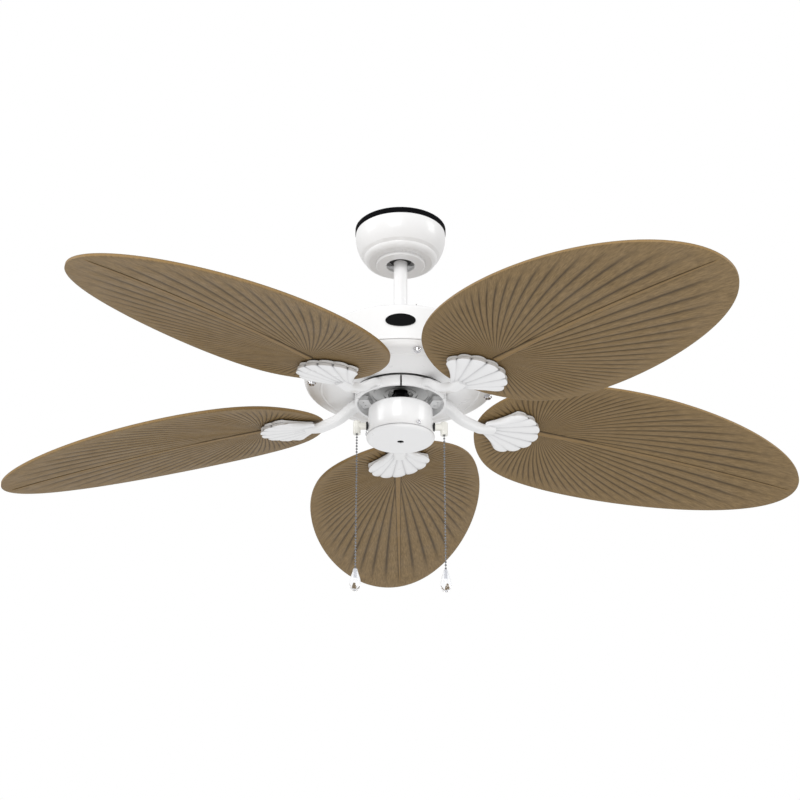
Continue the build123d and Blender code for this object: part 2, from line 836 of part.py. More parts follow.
with BuildPart() as leaf:
    with BuildSketch(Plane.XY.offset(-leaf_reach)):
        with BuildLine():
            Spline(*outline_points, periodic=True)
        make_face()
    extrude(amount=2 * leaf_reach)
    add(
        leaf_slab(blade_root_r - 5, blade_tip_r + 5, -half_leaf, half_leaf, leaf_half_width + 30),
        mode=Mode.INTERSECT,
    )
    add(midrib.part)
    with Locations(*[leaf_seat(u, v, 0) for u, v in blade_screw_places]):
        Cylinder(blade_screw_r + running, 4 * blade_thickness, mode=Mode.SUBTRACT)

for k in range(blade_count):
    keep(leaf.part.moved(blade_place(k)), f"palm_blade_{k + 1}")

# Blade screws come from above, each over a soft washer, and end inside the medallion
washer_thickness = 1.5
washer_r = 7.0
screw_hold = 4.4
screw_grip = blade_thickness + 2 * bedding + washer_thickness + screw_hold
blade_screw = pan_screw(4.2, 2.8, blade_screw_r, screw_grip)
with BuildPart() as washer:
    with BuildSketch():
        Circle(washer_r)
        Circle(blade_screw_r + running, mode=Mode.SUBTRACT)
    extrude(amount=washer_thickness)
washer_places = []
screw_places = []
for k in range(blade_count):
    for u, v in blade_screw_places:
        washer_places.append(blade_place(k) * leaf_seat(u, v, half_leaf + bedding))
        screw_places.append(blade_place(k) * leaf_seat(u, v, half_leaf + bedding + washer_thickness))
keep(copies(washer.part, washer_places), "blade_washers")
keep(copies(blade_screw, screw_places), "blade_screws")

# Shell medallion: a fan of lobes under the leaf, with a groove between each pair of lobes
lobe_angle = 2 * medallion_spread / medallion_lobes


def shell_point(degrees, inset):
    """Point on the medallion's edge, as an angle about the shell's root and a step inwards."""
    reach = medallion_reach - 20.0 * (degrees / 60.6) ** 2 - inset
    angle = math.radians(degrees)
    return (medallion_centre + reach * math.cos(angle), reach * math.sin(angle))


valley_angles = [-medallion_spread + k * lobe_angle for k in range(medallion_lobes + 1)]
neck_half = arm_width / 2
corner_low = shell_point(-medallion_spread, 0)
corner_high = shell_point(medallion_spread, 0)
edge_points = [shell_point(angle, lobe_depth) for angle in valley_angles]
edge_points[0] = corner_low
edge_points[-1] = corner_high
neck_u = medallion_centre - 9.0
shell_top = -half_leaf - bedding - medallion_gap
with BuildPart() as medallion:
    with BuildSketch(Plane.XY.offset(-leaf_reach)):
        with BuildLine():
            for k in range(medallion_lobes):
                middle = shell_point(valley_angles[k] + lobe_angle / 2, 0)
                ThreePointArc(edge_points[k], middle, edge_points[k + 1])
            ThreePointArc(corner_high, (neck_u + 17.5, 25.5), (neck_u, neck_half))
            Line((neck_u, neck_half), (neck_u, -neck_half))
            ThreePointArc((neck_u, -neck_half), (neck_u + 17.5, -25.5), corner_low)
        make_face()
    extrude(amount=2 * leaf_reach)
    add(
        leaf_slab(
            neck_u - 5,
            medallion_centre + medallion_reach + 5,
            shell_top - medallion_thickness,
            shell_top,
            medallion_reach,
        ),
        mode=Mode.INTERSECT,
    )
    for angle in valley_angles[1:-1]:
        u, v = shell_point(angle, medallion_reach / 2)
        low = leaf_height(u) + shell_top - medallion_thickness
        with Locations(Location((u, v, low), (0, 0, angle)) * Location((0, 0, 0), (0, 92.5, 0))):
            Cylinder(1.3, medallion_reach - 12, mode=Mode.SUBTRACT)
    with Locations(*[leaf_seat(u, v, shell_top + medallion_gap) for u, v in blade_screw_places]):
        Cylinder(pad_r, 2 * (medallion_gap + 1.0))
    add(
        leaf_slab(
            neck_u - 5,
            medallion_centre + medallion_reach + 5,
            shell_top - medallion_thickness,
            shell_top + medallion_gap,
            medallion_reach,
        ),
        mode=Mode.INTERSECT,
    )
    with Locations(*[leaf_seat(u, v, shell_top + medallion_gap) for u, v in blade_screw_places]):
        Cylinder(blade_screw_r + running, 2 * (screw_hold + 0.6), mode=Mode.SUBTRACT)

# The arm itself: a foot under the rotor, then an S-shaped horn out to the medallion
wedge_half = math.degrees(math.asin(foot_gap / 2 / foot_r))
skirt_angle = 180 / blade_count - wedge_half
far = 2 * foot_r


def wedge(half_angle):
    """Corner points of a wedge from the fan's axis."""
    spread = far * math.tan(math.radians(half_angle))
    return [(0, 0), (far, -spread), (far, spread)]


with BuildPart() as skirt:
    with BuildSketch(Plane.XY.offset(foot_bottom)):
        Circle(foot_r)
        Circle(foot_r - foot_wall, mode=Mode.SUBTRACT)
        Polygon(*wedge(skirt_angle), align=None, mode=Mode.INTERSECT)
    extrude(amount=foot_height - bedding)

with BuildPart() as lug:
    with BuildSketch(Plane.XY.offset(lug_bottom)):
        Circle(foot_r - 0.5)
        Circle(lug_inner_r, mode=Mode.SUBTRACT)
        Polygon(*wedge(lug_angle), align=None, mode=Mode.INTERSECT)
    extrude(amount=lug_thickness)
    fillet(lug.edges().filter_by(Axis.Z), 3)

horn_start = foot_bottom + foot_height / 2
horn_points = [
    (foot_r - foot_wall - 0.5, horn_start),
    (74, horn_start - 2.0),
    (88, horn_start - 12.0),
    (104, blade_plane + 10.5),
    (122, blade_plane + 4.6),
    (150, blade_plane + 3.6),
]
with BuildPart() as horn:
    with BuildLine(Plane.XZ) as horn_path:
        Spline(*horn_points, tangents=((1, 0), (1, 0.06)))
    for t, width, height in (
        (0, 26, 14),
        (0.35, arm_width + 1, 13),
        (0.8, arm_width, arm_thickness),
        (1, arm_width, arm_thickness - 2),
    ):
        with BuildSketch(Plane(origin=horn_path.wire() @ t, z_dir=horn_path.wire() % t, x_dir=(0, 1, 0))):
            RectangleRounded(width, height, 5)
    sweep(path=horn_path.wire(), multisection=True)

shell_place = Location((0, 0, blade_plane)) * Location((0, 0, 0), (-blade_pitch, 0, 0))
sink_r = 4.6
with BuildPart() as arm:
    add(horn.part)
    add(skirt.part)
    add(lug.part)
    add(medallion.part.moved(shell_place))
    with Locations(
        *[
            Location((arm_screw_u, v, lug_bottom), (180, 0, 0))
            for v in (-arm_screw_v, arm_screw_v)
        ]
    ):
        CounterSinkHole(arm_screw_r + running, sink_r, depth=foot_height, counter_sink_angle=90)
for k in range(blade_count):
    azimuth = first_blade + k * 360 / blade_count
    keep(arm.part.moved(Location((0, 0, 0), (0, 0, azimuth))), f"blade_arm_{k + 1}")

# Countersunk screws hold each foot to the rotor
arm_screw_length = lug_thickness + bedding + drum_wall - 0.5
with BuildPart() as arm_screw:
    with BuildSketch(Plane.XY.offset(0.2)):
        Circle(arm_screw_r)
    extrude(amount=arm_screw_length)
    with BuildSketch(Plane.XY.offset(0.2)):
        Circle(sink_r - 0.3)
    extrude(amount=sink_r - 0.3 - arm_screw_r, taper=45)
    with BuildSketch(Plane.XY.offset(0.2)):
        Rectangle(4.6, 1.0)
        Rectangle(1.0, 4.6)
    extrude(amount=1.4, mode=Mode.SUBTRACT)
keep(
    copies(
        arm_screw.part,
        [
            Location((0, 0, 0), (0, 0, first_blade + k * 360 / blade_count))
            * Location((arm_screw_u, v, lug_bottom))
            for k in range(blade_count)
            for v in (-arm_screw_v, arm_screw_v)
        ],
    ),
    "arm_screws",
)

# Switch housing: a cup that hangs on the shaft's end and flares to its lip
flare_top = switch_seam + switch_flare
nozzle_hole_r = nozzle_r + running
cap_screw_z = switch_seam + cap_screw_up


def cap_screw_places(radius, turned_by=0.0):
    """Places at a radius round the switch housing, facing outwards, one for each cap screw."""
    return [
        Location((0, 0, cap_screw_z), (0, 0, cap_screw_turn + turned_by + k * 120))
        * Location((radius, 0, 0), (0, 90, 0))
        for k in range(cap_screw_count)
    ]


with BuildPart() as switch_cup:
    with BuildSketch(Plane.XZ):
        with BuildLine():
            ThreePointArc(
                (switch_lip_r - 0.2, switch_seam + seam_gap),
                (switch_r + 0.8, switch_seam + 8.5),
                (switch_r, flare_top),
            )
            Line((switch_r, flare_top), (switch_r, switch_top - 2.5))
            ThreePointArc(
                (switch_r, switch_top - 2.5),
                (switch_r - 0.73, switch_top - 0.73),
                (switch_r - 2.5, switch_top),
            )
            Line((switch_r - 2.5, switch_top), (shaft_r + running, switch_top))
            offset(amount=sheet, side=Side.LEFT)
        make_face()
    revolve(axis=Axis.Z)
    with Locations(Location((0, 0, nozzle_z), (0, 90, 0))):
        Cylinder(nozzle_hole_r, 3 * switch_r, mode=Mode.SUBTRACT)
    with Locations(*cap_screw_places(switch_r, -switch_turn)):
        Cylinder(1.6, 12, mode=Mode.SUBTRACT)
keep(switch_cup.part.moved(Location((0, 0, 0), (0, 0, switch_turn))), "switch_housing")

# Switch cap: shallow dish with a lip that stands up inside the housing
cap_lip_r = switch_r - sheet + 0.2
with BuildPart() as cap:
    with BuildSketch(Plane.XZ):
        with BuildLine():
            ThreePointArc(
                (switch_lip_r, switch_seam),
                (switch_lip_r - 1.2, switch_seam - 3.6),
                (switch_lip_r - 6.0, switch_seam - 5.8),
            )
            Line((switch_lip_r - 6.0, switch_seam - 5.8), (cap_hole_r, cap_bottom))
            offset(amount=sheet, side=Side.RIGHT)
        make_face()
    revolve(axis=Axis.Z)
    with BuildSketch(Plane.XY.offset(switch_seam - 3.0)):
        Circle(cap_lip_r)
        Circle(cap_lip_r - sheet, mode=Mode.SUBTRACT)
    extrude(amount=13.0)
    with BuildSketch(Plane.XY.offset(switch_seam - 3.0)):
        Circle(switch_lip_r - 0.9)
        Circle(cap_lip_r - sheet, mode=Mode.SUBTRACT)
    extrude(amount=2.4)
    with Locations(*cap_screw_places(switch_r)):
        Cylinder(1.55, 12, mode=Mode.SUBTRACT)
keep(cap.part, "switch_cap")

cap_screw = pan_screw(3.2, 2.0, 1.5, 5.2)
cap_screw_seat = switch_r + 2.3
keep(
    copies(cap_screw, cap_screw_places(cap_screw_seat)),
    "cap_screws",
)

# Run capacitor under the housing's top plate
with BuildPart() as capacitor:
    with Locations((0, -25, switch_top - sheet - bedding - 12)):
        Box(40, 17, 24)
    fillet(capacitor.edges().filter_by(Axis.Z), 3)
keep(capacitor.part, "capacitor")

# Pull switches, elbows, chains and pendants, made on +X and turned to each side
nut_height = 2.6
barrel_r = 5.5
pendant_top = chain_bottom - bedding
core_length = 15.0
core_r = 2.2
with BuildPart() as pull_switch:
    with Locations((switch_r - 16.5, 0, nozzle_z)):
        Box(25, 22, 17)
    fillet(pull_switch.edges().filter_by(Axis.X), 2)
    with BuildSketch(Plane.YZ.offset(switch_r - 4.5)):
        with Locations((0, nozzle_z)):
            Circle(nozzle_r)
    extrude(amount=12.5)

nut_start = switch_r + 0.7
elbow_start = nut_start + nut_height + bedding
with BuildPart() as switch_nut:
    with BuildSketch(Plane.YZ.offset(nut_start)):
        with Locations((0, nozzle_z)):
            RegularPolygon(6.6, 6)
            Circle(nozzle_r + running, mode=Mode.SUBTRACT)
    extrude(amount=nut_height)

with BuildPart() as elbow:
    with BuildSketch(Plane.YZ.offset(elbow_start)):
        with Locations((0, nozzle_z)):
            Circle(barrel_r)
    extrude(amount=pull_x - elbow_start)
    with BuildSketch(Plane.XY.offset(elbow_bottom)):
        with Locations((pull_x, 0)):
            Circle(elbow_r)
    extrude(amount=elbow_height)
    fillet(elbow.edges().group_by(Axis.Z)[-1], 2.5)
    with BuildSketch(Plane.YZ.offset(elbow_start)):
        with Locations((0, nozzle_z)):
            Circle(nozzle_r + running)
    extrude(amount=switch_r + 8.0 + bedding - elbow_start, mode=Mode.SUBTRACT)
    with BuildSketch(Plane.XY.offset(elbow_bottom)):
        with Locations((pull_x, 0)):
            Circle(elbow_bore_r)
    extrude(amount=chain_inside + 1.0, mode=Mode.SUBTRACT)
    chamfer(elbow.edges().group_by(Axis.Z)[0].sort_by(SortBy.RADIUS)[0], 0.8)

with BuildPart() as chain:
    with BuildSketch(Plane.XY.offset(chain_bottom)):
        with Locations((pull_x, 0)):
            Circle(chain_r)
    extrude(amount=chain_length)

with BuildPart() as pendant:
    with BuildSketch(Plane.XZ):
        with BuildLine():
            Line((0, pendant_top), (2.8, pendant_top))
            Spline(
                (2.8, pendant_top),
                (4.2, pendant_top - 0.16 * pendant_height),
                (7.0, pendant_top - 0.43 * pendant_height),
                (pendant_r, pendant_top - 0.71 * pendant_height),
                (5.2, pendant_top - 0.94 * pendant_height),
                (0, pendant_top - pendant_height),
                tangents=((0.2, -1), (-1, 0)),
            )
            Line((0, pendant_top - pendant_height), (0, pendant_top))
        make_face()
    revolve(axis=Axis.Z)
    with BuildSketch(Plane.XY.offset(pendant_top)):
        Circle(core_r + running)
    extrude(amount=-core_length - bedding, mode=Mode.SUBTRACT)

with BuildPart() as core:
    with BuildSketch(Plane.XY.offset(pendant_top)):
        Circle(core_r)
    extrude(amount=-core_length)

pull_place = Location((pull_x, 0, 0))
right = Location((0, 0, 0), (0, 0, switch_turn))
left = Location((0, 0, 0), (0, 0, switch_turn + 180))
for side, name in ((right, "right"), (left, "left")):
    keep(pull_switch.part.moved(side), f"pull_switch_{name}")
    keep(elbow.part.moved(side), f"chain_elbow_{name}")
    keep(chain.part.moved(side), f"pull_chain_{name}")
    keep(pendant.part.moved(side * pull_place), f"chain_pendant_{name}")
    keep(core.part.moved(side * pull_place), f"pendant_core_{name}")
keep(copies(switch_nut.part, [right, left]), "switch_nuts")
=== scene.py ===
# %% [markdown]
# A white ceiling fan with five palm-leaf blades, seen from below.
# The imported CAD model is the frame. Each part that is pressed, machined, turned or moulded plain keeps its
# CAD shape and gets a finish. The leaves, the skins of the shells that carry them and the bead chains are
# modelled here, because their detail is what the eye looks for.

# %% Load the frame
import json
import math

import bpy
from mathutils import Matrix, Vector


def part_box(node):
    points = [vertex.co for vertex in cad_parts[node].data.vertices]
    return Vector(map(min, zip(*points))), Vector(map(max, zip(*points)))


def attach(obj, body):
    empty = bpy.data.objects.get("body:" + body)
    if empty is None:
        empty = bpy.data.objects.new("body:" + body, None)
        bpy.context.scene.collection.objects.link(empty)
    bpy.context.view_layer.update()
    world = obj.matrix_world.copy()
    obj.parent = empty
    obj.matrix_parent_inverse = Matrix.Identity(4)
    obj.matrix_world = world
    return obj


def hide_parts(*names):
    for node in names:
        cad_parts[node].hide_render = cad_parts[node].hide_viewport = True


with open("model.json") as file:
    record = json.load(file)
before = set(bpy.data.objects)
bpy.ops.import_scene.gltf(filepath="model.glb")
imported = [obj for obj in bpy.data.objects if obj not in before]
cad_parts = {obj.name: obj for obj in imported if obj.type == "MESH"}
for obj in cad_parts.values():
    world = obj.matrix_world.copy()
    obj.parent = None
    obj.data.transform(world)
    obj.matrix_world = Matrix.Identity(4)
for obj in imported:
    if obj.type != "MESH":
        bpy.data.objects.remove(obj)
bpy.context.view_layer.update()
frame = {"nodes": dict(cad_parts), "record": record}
nodes = frame["nodes"]
MM = 0.001
print("CAD nodes:", len(nodes))

# %% [markdown]
# The camera stands below the fan and in front of it, and looks up at it. Its place, tilt and lens were
# worked out from the round parts of the photograph, so everything else can simply go where the CAD says.

# %% Camera
PHOTO_PITCH = 25.48
PHOTO_LENS = 77.15
PHOTO_PLACE = (-0.0008, -2.32515, -1.4036)
camera_data = bpy.data.cameras.new("photo_camera")
camera_data.lens = PHOTO_LENS
camera_data.sensor_width = 36.0
camera_data.clip_end = 30.0
camera = bpy.data.objects.new("photo_camera", camera_data)
camera.location = PHOTO_PLACE
camera.rotation_euler = (math.radians(90.0 + PHOTO_PITCH), 0.0, 0.0)
bpy.context.scene.collection.objects.link(camera)
bpy.context.scene.camera = camera
bpy.context.scene.view_settings.view_transform = "Standard"

# %% [markdown]
# A few small helpers come next. They only save repeating the same operator calls.


# %% Modelling helpers
def let_go():
    """Select nothing, because operators act on all that is selected."""
    if bpy.context.mode != "OBJECT":
        bpy.ops.object.mode_set(mode="OBJECT")
    bpy.ops.object.select_all(action="DESELECT")


def take(piece):
    """Make one piece the selected and active one."""
    let_go()
    piece.select_set(True)
    bpy.context.view_layer.objects.active = piece


def newest(name):
    """Name the object that the last operator added."""
    piece = bpy.context.active_object
    piece.name = name
    piece.data.name = name
    return piece


def settle(piece):
    """Put the piece's place, turn and scale into its mesh, so that its object sits at the origin."""
    take(piece)
    bpy.ops.object.transform_apply(location=True, rotation=True, scale=True)
    return piece


def smooth(piece, angle=40.0):
    """Shade smooth, and keep edges sharper than an angle crisp."""
    take(piece)
    bpy.ops.object.shade_smooth_by_angle(angle=math.radians(angle))
    return piece


def weld(piece, distance=0.00002):
    """Merge doubled points and turn all faces outwards."""
    take(piece)
    bpy.ops.object.mode_set(mode="EDIT")
    bpy.ops.mesh.select_all(action="SELECT")
    bpy.ops.mesh.remove_doubles(threshold=distance)
    bpy.ops.mesh.normals_make_consistent(inside=False)
    bpy.ops.object.mode_set(mode="OBJECT")
    return piece


def placed_copy(piece, name, place):
    """A copy with its own mesh, moved to its place in the row frame."""
    mesh = piece.data.copy()
    mesh.transform(place)
    mesh.name = name
    copy = bpy.data.objects.new(name, mesh)
    bpy.context.scene.collection.objects.link(copy)
    return copy


# %% [markdown]
# The pull chains hang free. A real one is a string of hollow metal beads, each
# joined to the next by a short wire. One bead is modelled and copied down the chain, from inside the elbow to
# the drop.

# %% Bead chains
BEAD_DIAMETER = 3.2 * MM
BEAD_PITCH = 4.75 * MM
LINK_RADIUS = 0.45 * MM


def chain_along(name, top, bottom):
    """One bead chain as one mesh: beads on a line, with a thin wire through them."""
    let_go()
    bpy.ops.mesh.primitive_uv_sphere_add(segments=10, ring_count=8, radius=BEAD_DIAMETER / 2)
    bead = newest("bead")
    run = (top - bottom).length
    count = round(run / BEAD_PITCH)
    beads = []
    for k in range(count):
        spot = top.lerp(bottom, (k + 0.5) / count)
        beads.append(placed_copy(bead, f"bead_{k}", Matrix.Translation(spot)))
    let_go()
    bpy.ops.mesh.primitive_cylinder_add(
        vertices=6, radius=LINK_RADIUS, depth=run - BEAD_DIAMETER, location=(top + bottom) / 2
    )
    wire = settle(newest(name))
    let_go()
    for piece in beads:
        piece.select_set(True)
    wire.select_set(True)
    bpy.context.view_layer.objects.active = wire
    bpy.ops.object.join()
    bpy.data.objects.remove(bead)
    print(name, "beads:", count, "length mm:", round(run / MM, 1))
    return smooth(wire, 60.0)


chains = {}
for side in ("right", "left"):
    low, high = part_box(f"pull_chain_{side}")
    middle = (low + high) / 2
    top = Vector((middle.x, middle.y, high.z))
    bottom = Vector((middle.x, middle.y, low.z))
    elbow_low, elbow_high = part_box(f"chain_elbow_{side}")
    chain = chain_along(f"bead_chain_{side}", top, bottom)
    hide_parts(f"pull_chain_{side}")
    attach(chain, f"{side}_pull")
    chains[side] = chain

# %% [markdown]
# The finishes start with effects that several of them share. Each is a node group with named inputs and
# outputs. Enamel has a faint orange peel, bare metal has turning marks, and handling makes any finish
# a little less even.


# %% Shared shader groups
def new_group(name, inputs, outputs):
    """An empty shader node group with named sockets."""
    group = bpy.data.node_groups.new(name, "ShaderNodeTree")
    for label, kind, value in inputs:
        socket = group.interface.new_socket(name=label, in_out="INPUT", socket_type=kind)
        if value is not None:
            socket.default_value = value
    for label, kind in outputs:
        group.interface.new_socket(name=label, in_out="OUTPUT", socket_type=kind)
    start = group.nodes.new("NodeGroupInput")
    end = group.nodes.new("NodeGroupOutput")
    return group, start, end


def add_node(tree, kind, **settings):
    """A node with its settings and socket values given by name."""
    node = tree.nodes.new(kind)
    for key, value in settings.items():
        if hasattr(node, key):
            setattr(node, key, value)
        else:
            node.inputs[key.replace("_", " ")].default_value = value
    return node


def maths(tree, operation, first, second=None):
    """A math node fed by sockets or numbers."""
    node = tree.nodes.new("ShaderNodeMath")
    node.operation = operation
    for index, value in enumerate((first, second)):
        if value is None:
            continue
        if isinstance(value, (int, float)):
            node.inputs[index].default_value = value
        else:
            tree.links.new(value, node.inputs[index])
    return node.outputs[0]


FLOAT = "NodeSocketFloat"

uneven, start, end = new_group(
    "uneven_finish",
    [("Scale", FLOAT, 40.0), ("Low", FLOAT, 0.2), ("High", FLOAT, 0.3)],
    [("Value", FLOAT), ("Mask", FLOAT)],
)
place = add_node(uneven, "ShaderNodeTexCoord")
cloud = add_node(uneven, "ShaderNodeTexNoise", Detail=4.0, Roughness=0.6)
spread = add_node(uneven, "ShaderNodeMapRange")
uneven.links.new(place.outputs["Object"], cloud.inputs["Vector"])
uneven.links.new(start.outputs["Scale"], cloud.inputs["Scale"])
uneven.links.new(cloud.outputs["Fac"], spread.inputs["Value"])
spread.inputs["From Min"].default_value = 0.3
spread.inputs["From Max"].default_value = 0.7
uneven.links.new(start.outputs["Low"], spread.inputs["To Min"])
uneven.links.new(start.outputs["High"], spread.inputs["To Max"])
uneven.links.new(spread.outputs["Result"], end.inputs["Value"])
uneven.links.new(cloud.outputs["Fac"], end.inputs["Mask"])

PEEL_SIZE = 260.0
peel, start, end = new_group("orange_peel", [("Scale", FLOAT, PEEL_SIZE)], [("Height", FLOAT)])
place = add_node(peel, "ShaderNodeTexCoord")
pores = add_node(peel, "ShaderNodeTexNoise", Detail=2.0, Roughness=0.5)
peel.links.new(place.outputs["Object"], pores.inputs["Vector"])
peel.links.new(start.outputs["Scale"], pores.inputs["Scale"])
peel.links.new(pores.outputs["Fac"], end.inputs["Height"])

turned, start, end = new_group(
    "turned_marks",
    [("Rings_per_metre", FLOAT, 2500.0)],
    [("Height", FLOAT), ("Shade", FLOAT)],
)
place = add_node(turned, "ShaderNodeTexCoord")
flat = add_node(turned, "ShaderNodeVectorMath", operation="MULTIPLY")
flat.inputs[1].default_value = (1.0, 1.0, 0.0)
reach = add_node(turned, "ShaderNodeVectorMath", operation="LENGTH")
turned.links.new(place.outputs["Object"], flat.inputs[0])
turned.links.new(flat.outputs["Vector"], reach.inputs[0])
ring = maths(turned, "MULTIPLY", reach.outputs["Value"], start.outputs["Rings_per_metre"])
marks = add_node(turned, "ShaderNodeTexNoise", noise_dimensions="1D", Detail=3.0, Scale=1.0)
turned.links.new(ring, marks.inputs["W"])
turned.links.new(marks.outputs["Fac"], end.inputs["Height"])
turned.links.new(marks.outputs["Fac"], end.inputs["Shade"])
print("shader groups:", [g.name for g in bpy.data.node_groups])

# %% [markdown]
# Each finish is one material, with its plain values on the shader's own sockets and its small variations from
# the groups. The colour of a painted or moulded part also drifts a little.


# %% Material helpers
PEEL_STRENGTH = 0.03
LATHE_STRENGTH = 0.3
SKIN_DEPTH = 0.00002


def new_material(name):
    """A material with a Principled shader, returned with its tree and shader."""
    material = bpy.data.materials.new(name)
    material.use_nodes = True
    tree = material.node_tree
    shader = tree.nodes["Principled BSDF"]
    return material, tree, shader


def use_group(tree, group, **values):
    """Place a group in a material and give its inputs."""
    node = tree.nodes.new("ShaderNodeGroup")
    node.node_tree = group
    for key, value in values.items():
        node.inputs[key].default_value = value
    return node


def bump_from(tree, shader, height, strength, distance):
    """Feed a height into the shader's normal through a Bump node."""
    bump = tree.nodes.new("ShaderNodeBump")
    bump.inputs["Strength"].default_value = strength
    bump.inputs["Distance"].default_value = distance
    tree.links.new(height, bump.inputs["Height"])
    tree.links.new(bump.outputs["Normal"], shader.inputs["Normal"])
    return bump


def tinted(tree, shader, mask, first, second):
    """Drift the base colour between two shades by a mask."""
    mix = tree.nodes.new("ShaderNodeMix")
    mix.data_type = "RGBA"
    mix.inputs["A"].default_value = (*first, 1.0)
    mix.inputs["B"].default_value = (*second, 1.0)
    tree.links.new(mask, mix.inputs["Factor"])
    tree.links.new(mix.outputs["Result"], shader.inputs["Base Color"])
    return mix


def painted(name, first, second, low, high, coat=0.0, gleam=0.5):
    """A painted or moulded finish: drifting colour, uneven gloss and a fine peel."""
    material, tree, shader = new_material(name)
    gloss = use_group(tree, uneven, Scale=18.0, Low=low, High=high)
    tree.links.new(gloss.outputs["Value"], shader.inputs["Roughness"])
    tinted(tree, shader, gloss.outputs["Mask"], first, second)
    skin = use_group(tree, peel, Scale=PEEL_SIZE)
    bump_from(tree, shader, skin.outputs["Height"], PEEL_STRENGTH, SKIN_DEPTH)
    shader.inputs["Coat Weight"].default_value = coat
    shader.inputs["Specular IOR Level"].default_value = gleam
    shader.inputs["Coat Roughness"].default_value = 0.06
    return material


def metal(name, first, second, low, high, rings=2500.0):
    """A bare metal finish with turning marks."""
    material, tree, shader = new_material(name)
    shader.inputs["Metallic"].default_value = 1.0
    gloss = use_group(tree, uneven, Scale=60.0, Low=low, High=high)
    tree.links.new(gloss.outputs["Value"], shader.inputs["Roughness"])
    lathe = use_group(tree, turned, Rings_per_metre=rings)
    tinted(tree, shader, lathe.outputs["Shade"], first, second)
    bump_from(tree, shader, lathe.outputs["Height"], LATHE_STRENGTH, SKIN_DEPTH)
    return material


# %% Finishes
WHITE = ((0.82, 0.82, 0.825), (0.835, 0.835, 0.835))
RUBBER = ((0.003, 0.003, 0.004), (0.005, 0.005, 0.006))
BLACK = ((0.010, 0.010, 0.010), (0.018, 0.018, 0.018))
BADGE = ((0.002, 0.002, 0.0025), (0.004, 0.004, 0.0045))
CREAM = ((0.84, 0.83, 0.77), (0.87, 0.86, 0.80))
STEEL = ((0.50, 0.50, 0.49), (0.62, 0.62, 0.61))
CHROME = ((0.62, 0.62, 0.64), (0.78, 0.78, 0.80))
DARK_STEEL = ((0.020, 0.020, 0.022), (0.045, 0.045, 0.047))
ALUMINIUM = ((0.42, 0.42, 0.42), (0.62, 0.62, 0.61))
COPPER = ((0.50, 0.22, 0.10), (0.62, 0.30, 0.15))
CHAIN = ((0.16, 0.16, 0.17), (0.30, 0.30, 0.31))
finishes = {
    "white_enamel": painted("white_enamel", *WHITE, 0.27, 0.30, coat=0.3),
    "black_rubber": painted("black_rubber", *RUBBER, 0.60, 0.80, gleam=0.03),
    "black_plastic": painted("black_plastic", *BLACK, 0.35, 0.5, gleam=0.3),
    "black_badge": painted("black_badge", *BADGE, 0.22, 0.30, gleam=0.07),
    "cream_plastic": painted("cream_plastic", *CREAM, 0.25, 0.35, coat=0.2),
    "bright_steel": metal("bright_steel", *STEEL, 0.25, 0.4),
    "chrome_steel": metal("chrome_steel", *CHROME, 0.08, 0.18, rings=900.0),
    "dark_steel": metal("dark_steel", *DARK_STEEL, 0.25, 0.4),
    "cast_aluminium": metal("cast_aluminium", *ALUMINIUM, 0.28, 0.42, rings=1600.0),
    "copper_wire": metal("copper_wire", *COPPER, 0.25, 0.4),
}
chain_steel = metal("chain_steel", *CHAIN, 0.22, 0.34, rings=900.0)

# %% [markdown]
# The drops are clear cast acrylic. The metal clip inside shows through, so they are left almost untinted.

# %% Clear drops
clear, tree, shader = new_material("clear_pendant")
shader.inputs["Transmission Weight"].default_value = 1.0
shader.inputs["IOR"].default_value = 1.47
shader.inputs["Base Color"].default_value = (0.97, 0.98, 1.0, 1.0)
mist = use_group(tree, uneven, Scale=120.0, Low=0.01, High=0.05)
tree.links.new(mist.outputs["Value"], shader.inputs["Roughness"])
finishes["clear_pendant"] = clear

# %% [markdown]
# Every CAD node takes the finish that the record names for it. The leaves are left out here, because a
# modelled leaf replaces each one further down.

# %% Finish every CAD node
slots = {entry["node"]: entry["material_slot"] for entry in frame["record"]["subparts"]}
for name, node in nodes.items():
    finish = finishes.get(slots[name])
    if finish is None:
        continue
    node.data.materials.clear()
    node.data.materials.append(finish)
print("finished nodes:", sum(1 for n in nodes if slots[n] in finishes))
for chain in chains.values():
    chain.data.materials.append(chain_steel)

# %% [markdown]
# A leaf is a moulded plate about 5 mm thick. Its pleats all start at one point by the shell, and spread out to
# the rim as a real palm leaf's do. The shape comes from one outline formula, the same as in the CAD. A flat
# grid is added, its rows become rings and its columns rays, and each ray's fold is pressed into it as real
# relief. The seam where the grid meets itself is then welded.

# %% Leaf sizes
BLADES = 5
FIRST_BLADE = 90.6
BLADE_PLANE = -327.0
ROOT_R = 126.0
TIP_R = 660.0
HALF_WIDTH = 139.0
EGG = 78.8
SQUARE = 20.6
HEART = 25.0
FULL = 7.65
LEAN = 2.35
THICKNESS = 5.0
PITCH = 10.55
DROOP_SLOPE = 0.0923
DROOP_SAG = 7.1
SAG_SPAN = 250.0
SAG_CENTRE = 400.0
FOLD_CENTRE = 224.0
FOLDS = 72
RAYS_PER_FOLD = 6
RINGS = 40
RIM_START = 0.993
FOLD_DEPTH = 1.1
RAY_SWEEP = 13.0
TIP_CROWDING = 0.25
FADE_BAND = 0.24
OUTLINE_STEPS = 2880


def leaf_height(u):
    """Height of the leaf's middle surface above the blade plane."""
    return -(u - SAG_CENTRE) * DROOP_SLOPE - DROOP_SAG * ((u - SAG_CENTRE) / SAG_SPAN) ** 2


